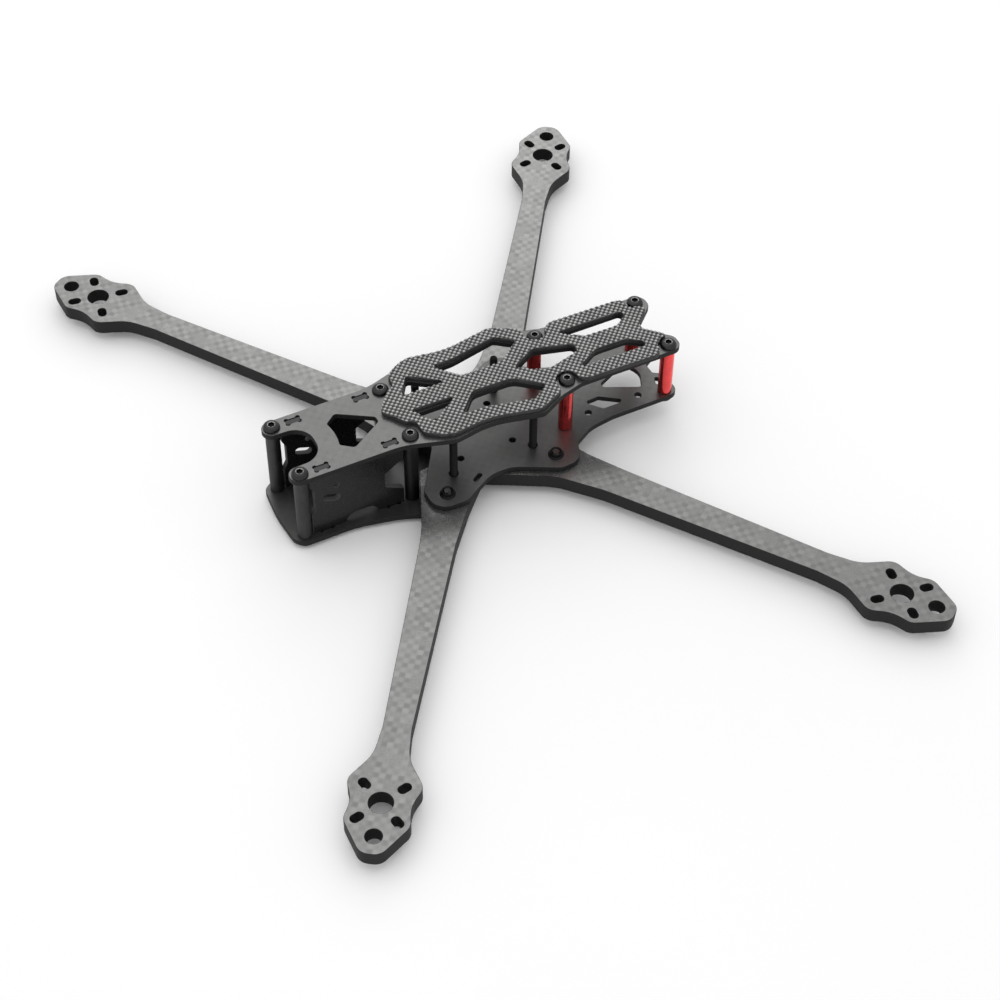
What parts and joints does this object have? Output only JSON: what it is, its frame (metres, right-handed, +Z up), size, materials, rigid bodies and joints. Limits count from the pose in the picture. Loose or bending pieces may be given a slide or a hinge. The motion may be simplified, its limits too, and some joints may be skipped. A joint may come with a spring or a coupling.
{
  "type": "racing drone frame",
  "caption": "Bare quadcopter frame with bolted carbon arms, stacked plates, round standoffs, a front camera cage and a rubber battery pad.",
  "frame": {"origin": "midway between the four motors, level with the underside of the lowest screw heads", "axes": "+Z up, -Y towards the front (the camera cage), +X towards the drone's left"},
  "size_m": [0.287, 0.2131, 0.0352],
  "materials": {
    "carbon_fibre": "satin, faint square weave",
    "dark_carbon_fibre": "satin, faint square weave",
    "pad_rubber": "matt, embossed woven grip pattern",
    "grey_alloy": "matt grey anodised, finely knurled",
    "red_alloy": "satin red anodised",
    "black_steel": "black oxide, worn bright round the hex socket"
  },
  "bodies": {
    "root": {"bottom_plate": "dark_carbon_fibre", "middle_plate": "dark_carbon_fibre", "top_plate": "carbon_fibre", "battery_pad": "pad_rubber", "arm_front_left": "carbon_fibre", "arm_front_right": "carbon_fibre", "arm_rear_left": "carbon_fibre", "arm_rear_right": "carbon_fibre", "camera_plate_left": "dark_carbon_fibre", "camera_plate_right": "dark_carbon_fibre", "standoff_nose_left": "grey_alloy", "standoff_nose_right": "grey_alloy", "standoff_shoulder_left": "grey_alloy", "standoff_shoulder_right": "grey_alloy", "standoff_waist_left": "red_alloy", "standoff_waist_right": "red_alloy", "standoff_tail_left": "red_alloy", "standoff_tail_right": "red_alloy", "top_screws_front": "black_steel", "top_screws_rear": "black_steel", "lower_screws_front": "black_steel", "lower_screws_rear": "black_steel", "arm_bolt_front_left": "black_steel", "arm_bolt_front_right": "black_steel", "arm_bolt_rear_left": "black_steel", "arm_bolt_rear_right": "black_steel", "press_nut_front_left": "black_steel", "press_nut_front_right": "black_steel", "press_nut_rear_left": "black_steel", "press_nut_rear_right": "black_steel", "stack_bolt_front_left": "black_steel", "stack_bolt_front_right": "black_steel", "stack_bolt_rear_left": "black_steel", "stack_bolt_rear_right": "black_steel"}
  },
  "joints": []
}
